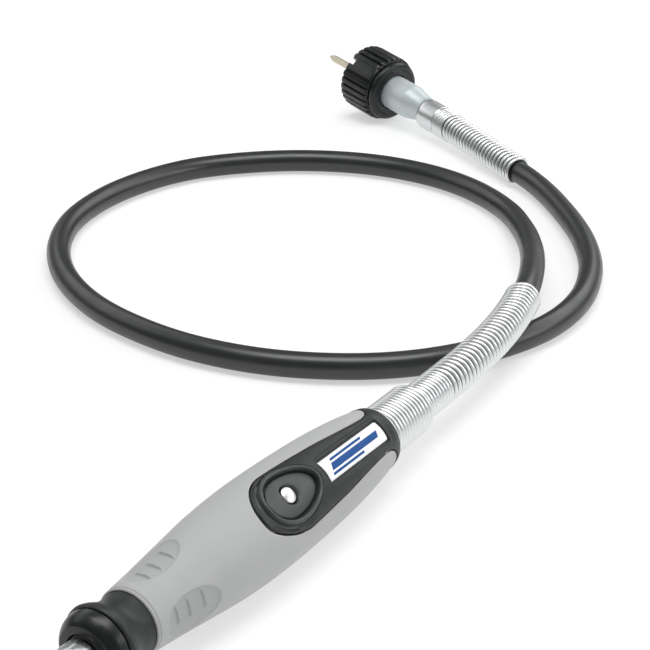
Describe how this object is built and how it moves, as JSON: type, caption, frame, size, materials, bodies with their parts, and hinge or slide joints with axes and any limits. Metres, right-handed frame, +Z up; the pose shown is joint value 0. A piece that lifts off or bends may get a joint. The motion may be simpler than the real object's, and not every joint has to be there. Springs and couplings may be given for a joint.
{
  "type": "flexible shaft attachment for a rotary tool",
  "caption": "Slim grey handpiece with thumb dish and collet nose on a sheathed flexible drive shaft that loops once and ends in a ribbed screw-on coupling with a square drive tip.",
  "frame": {"origin": "on the floor, under the middle of the handpiece's length (nut front face to sleeve end) on its axis", "axes": "+X along the handpiece axis from the collet nose to the cable end, +Z up, +Y towards the side that the shaft loops to"},
  "size_m": [0.4725, 0.238, 0.0332],
  "materials": {
    "grip_plastic": "fine matte moulded, mid grey",
    "pad_plastic": "soft matte, dark grey",
    "black_nylon": "satin black moulded",
    "label_white": "semi-gloss plate",
    "aluminium": "turned",
    "spring_steel": "bright plated wire",
    "steel": "ground",
    "zinc": "satin bluish zinc",
    "brass": "turned",
    "core_steel": "pale warm steel",
    "casing_rubber": "satin dark grey sheath",
    "seal_felt": "felt"
  },
  "bodies": {
    "handpiece": {"grip_shell": "grip_plastic", "thumb_pad": "pad_plastic", "label_plate": "label_white", "inner_barrel": "aluminium", "nose_collar": "pad_plastic", "nose_ring": "black_nylon", "dust_seal": "seal_felt", "front_bearing_outer_ring": "steel", "rear_bearing_outer_ring": "steel", "button_guide": "brass", "lock_spring": "spring_steel", "preload_spring": "spring_steel", "rear_sleeve": "steel", "handpiece_spring": "spring_steel", "flex_casing": "casing_rubber", "coupling_spring": "spring_steel", "crimp_ring": "spring_steel", "coupling_ferrule": "zinc", "ferrule_bush": "brass", "nut_retaining_ring": "steel"},
    "spindle": {"spindle": "steel", "front_bearing_inner_ring": "steel", "rear_bearing_inner_ring": "steel", "bearing_spacer": "aluminium", "collet": "brass", "drive_socket": "steel", "core_end_square": "core_steel"},
    "collet_nut": {"collet_nut": "steel"},
    "front_cage": {"front_bearing_ball_cage": "brass"},
    "rear_cage": {"rear_bearing_ball_cage": "brass"},
    "lock_button": {"lock_button": "steel"},
    "coupling_nut": {"coupling_nut": "black_nylon"},
    "drive_core": {"drive_core_tip": "core_steel", "core_stop_collar": "brass"}
  },
  "joints": [
    {"name": "spindle_spin", "type": "hinge", "parent": "handpiece", "child": "spindle", "pos_m": [0, 0, 0.015], "axis": [1, 0, 0], "continuous": true},
    {"name": "collet_nut_turn", "type": "hinge", "parent": "spindle", "child": "collet_nut", "pos_m": [-0.08, 0, 0.015], "axis": [-1, 0, 0], "range_deg": [0, 720]},
    {"name": "front_cage_spin", "type": "hinge", "parent": "handpiece", "child": "front_cage", "pos_m": [-0.0658, 0, 0.015], "axis": [1, 0, 0], "continuous": true},
    {"name": "rear_cage_spin", "type": "hinge", "parent": "handpiece", "child": "rear_cage", "pos_m": [0.04, 0, 0.015], "axis": [1, 0, 0], "continuous": true},
    {"name": "lock_button_press", "type": "slide", "parent": "handpiece", "child": "lock_button", "axis": [0, 0.6691, -0.7431], "range_m": [0, 0.0018], "stiffness_N_per_m": 300, "springref_m": -0.002, "deforming": ["lock_spring"]},
    {"name": "coupling_nut_turn", "type": "hinge", "parent": "handpiece", "child": "coupling_nut", "pos_m": [0.3672, 0.1758, 0.0152], "axis": [0.2895, 0.947, 0.1392], "continuous": true},
    {"name": "drive_core_spin", "type": "hinge", "parent": "handpiece", "child": "drive_core", "pos_m": [0.3672, 0.1758, 0.0152], "axis": [0.2895, 0.947, 0.1392], "continuous": true}
  ],
  "couplings": [
    {"joint": "drive_core_spin", "follows": "spindle_spin", "ratio": 1},
    {"joint": "front_cage_spin", "follows": "spindle_spin", "ratio": 0.437},
    {"joint": "rear_cage_spin", "follows": "spindle_spin", "ratio": 0.39}
  ]
}
